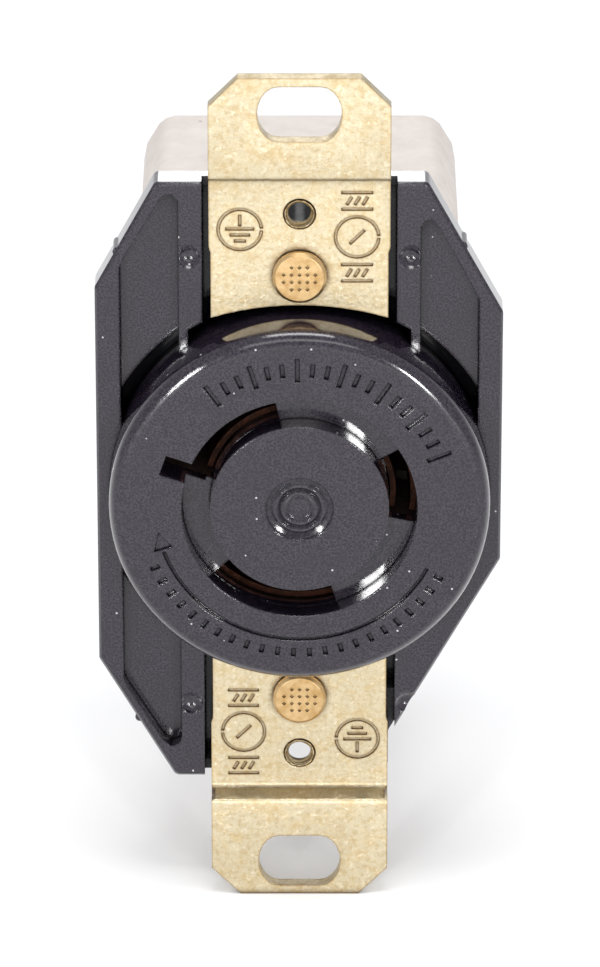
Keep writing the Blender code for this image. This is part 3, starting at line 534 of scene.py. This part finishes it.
def thread_ridge(name, middle, finish):
    """The thread's ridge in a strap's plate hole at this height, with its foot in the strap."""
    strap_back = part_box(f"{name}_strap")[1][1] / MM
    length = strap_back - 2 * RIDGE_INSET
    turns = length / PITCH
    steps = int(turns * RIDGE_RINGS_PER_TURN)
    rings = []
    for i in range(steps + 1):
        angle = 2 * math.pi * turns * i / steps
        y = RIDGE_INSET + length * i / steps
        rise = RIDGE_HEIGHT * step(i, 6) * step(steps - i, 6) + 0.01
        ring = []
        for out, along in ((0.03, -0.34), (-rise, -0.07), (-rise, 0.07), (0.03, 0.34)):
            radius = PLATE_HOLE_RADIUS + out
            x, z = radius * math.cos(angle), radius * math.sin(angle)
            ring.append(scaled(x, y + along * PITCH, middle + z))
        rings.append(ring)
    put(to_object(f"{name}_plate_hole_thread", stack(rings), finish), ROOT)


def tapping_burr(name, sign, middle, finish):
    """The uneven burr that tapping left round a plate hole's mouth."""
    rings = []
    for i in range(BURR_SECTIONS):
        angle = 2 * math.pi * i / BURR_SECTIONS
        way = Vector((math.cos(angle), sign * 3.0, math.sin(angle)))
        rough = noise.noise(way * 3.1) + 0.6 * noise.noise(way * 7.3)
        thick = 0.085 + 0.07 * max(rough, -0.6)
        radius = PLATE_HOLE_RADIUS + 0.1 + 0.06 * noise.noise(way * 4.7)
        ring = []
        for j in range(BURR_SIDES):
            turn = 2 * math.pi * j / BURR_SIDES
            r = radius + thick * math.cos(turn)
            y = 0.02 + 1.25 * thick * math.sin(turn)
            ring.append(scaled(r * way.x, y, middle + r * way.z))
        rings.append(ring)
    put(to_object(f"{name}_plate_hole_burr", coil(rings), finish), ROOT)


def tapped_hole(name, sign, finish):
    middle = sign * PLATE_HOLE_SPACING / 2
    thread_ridge(name, middle, finish)
    tapping_burr(name, sign, middle, finish)


def well_rim(name, finish):
    """A raised rim round a terminal screw's well in the body's side."""
    low, high = (Vector(corner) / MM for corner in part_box(f"{name}_terminal_screw"))
    centre = (low + high) / 2
    side = 1 if centre.x > 0 else -1
    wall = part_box("back_body")[1][0] / MM
    section = ((4.15, -0.15), (4.15, 0.22), (4.3, 0.34), (4.6, 0.34), (4.8, 0.2), (4.85, -0.15))
    rings = []
    for i in range(RING_POINTS):
        angle = 2 * math.pi * i / RING_POINTS
        ring = []
        for radius, proud in section:
            y = centre.y + radius * math.cos(angle)
            z = centre.z + radius * math.sin(angle)
            ring.append(scaled(side * (wall + proud), y, z))
        rings.append(ring)
    put(to_object(f"{name}_well_rim", coil(rings), finish), ROOT)


def bar(name, x, y, z, edge, finish):
    """A moulded bar between these places, from x[0] in the wall to x[1] proud of it."""
    side = 1 if x[1] > 0 else -1
    base, top = x
    rings = []
    for out, pull in ((base, 0.0), (top - side * edge, 0.0), (top, edge)):
        low_y, high_y = y[0] + pull, y[1] - pull
        low_z, high_z = z[0] + pull, z[1] - pull
        corner = min(0.35, (high_y - low_y) / 2.2)
        ring = []
        for centre_y, centre_z, start in (
            (high_y - corner, high_z - corner, 0),
            (low_y + corner, high_z - corner, 90),
            (low_y + corner, low_z + corner, 180),
            (high_y - corner, low_z + corner, 270),
        ):
            for k in range(5):
                angle = math.radians(start + 22.5 * k)
                at_y = centre_y + corner * math.cos(angle)
                at_z = centre_z + corner * math.sin(angle)
                ring.append(scaled(out, at_y, at_z))
        rings.append(ring)
    put(to_object(name, stack(rings), finish), ROOT)


def body_details(finish):
    """Grip ribs on the body's right side and a bare wire gauge on its left side."""
    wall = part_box("back_body")[1][0] / MM
    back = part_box("back_body")[1][1] / MM
    right = (wall - DETAIL_ROOT, wall + DETAIL_PROUD)
    left = (DETAIL_ROOT - wall, -wall - DETAIL_PROUD)
    for i in range(RIB_COUNT):
        low = back - RIB_START - RIB_STEP * i
        bar(f"right_rib_{i + 1}", right, (low, low + RIB_WIDTH), RIB_HEIGHTS, 0.2, finish)
    bar("wire_gauge", left, (back - 9.0, back - 7.4), GAUGE_HEIGHTS, 0.2, finish)
    for i, height in enumerate(GAUGE_HEIGHTS):
        across = (back - 10.4, back - 6.0)
        place = (height - 0.35, height + 0.35)
        bar(f"wire_gauge_end_{i + 1}", left, across, place, 0.15, finish)


# ---------------------------------------------------------------- studio


def floor():
    data = bmesh.new()
    bmesh.ops.create_grid(data, x_segments=8, y_segments=8, size=6.0)
    low = CAD_BOX[0][2] - 0.05 * MM
    bmesh.ops.translate(data, verts=data.verts, vec=(0.0, 0.0, low))
    to_object("floor", data, floor_material())


def area_light(name, place, power, size, target=(0.0, 0.0, 0.0)):
    light = bpy.data.lights.new(name, "AREA")
    light.shape = "RECTANGLE"
    light.size, light.size_y = size
    light.energy = power
    obj = bpy.data.objects.new(name, light)
    obj.location = place
    aim = Vector(target) - Vector(place)
    obj.rotation_euler = aim.to_track_quat("-Z", "Y").to_euler()
    bpy.context.scene.collection.objects.link(obj)


def studio():
    """A pale room, with lights whose mirror images lie where the photo's highlights are."""
    world = bpy.data.worlds.new("studio")
    bpy.context.scene.world = world
    world.use_nodes = True
    sky = world.node_tree.nodes["Background"]
    sky.inputs["Color"].default_value = (0.97, 0.98, 1.0, 1.0)
    sky.inputs["Strength"].default_value = 0.78
    area_light("left_strip", (-0.235, -0.54, 0.05), 1.3, (0.035, 0.12))
    area_light("right_strip", (0.235, -0.54, 0.05), 1.2, (0.035, 0.12))
    area_light("top_softbox", (0.0, -0.09, 0.40), 0.75, (0.2, 0.1), (0.0, -0.05, -0.045))
    area_light("front_softbox", (0.0, -0.75, 0.40), 0.9, (0.5, 0.16))
    area_light("back_softbox", (0.0, 0.52, 0.25), 0.4, (0.5, 0.06))
    bpy.context.scene.view_settings.view_transform = "Standard"


def camera():
    """Far off, from a little above, as the photo was taken."""
    elevation = math.radians(24.12)
    distance = 0.700
    target = Vector((0.05, 0.0, 0.54)) * MM
    data = bpy.data.cameras.new("camera")
    data.sensor_width = 36.0
    data.lens = 255.0
    data.clip_start = 0.05
    data.clip_end = 30.0
    obj = bpy.data.objects.new("camera", data)
    back = Vector((0.0, -math.cos(elevation), math.sin(elevation)))
    obj.location = target + distance * back
    obj.rotation_euler = (math.pi / 2 - elevation, 0.0, 0.0)
    bpy.context.scene.collection.objects.link(obj)
    bpy.context.scene.camera = obj


# ---------------------------------------------------------------- the scene

camera()
studio()
floor()
beige = beige_nylon()
yellow = brass()
green = plated("green_plating", (0.06, 0.3, 0.12), (0.03, 0.19, 0.07))
dress_frame(black_nylon(), beige, yellow, green)
for terminal in ("ground", "line_1", "line_2"):
    terminal_screw(terminal, green if terminal == "ground" else yellow)
    well_rim(terminal, beige)
tapped_hole("upper", 1, yellow)
tapped_hole("lower", -1, yellow)
body_details(beige)
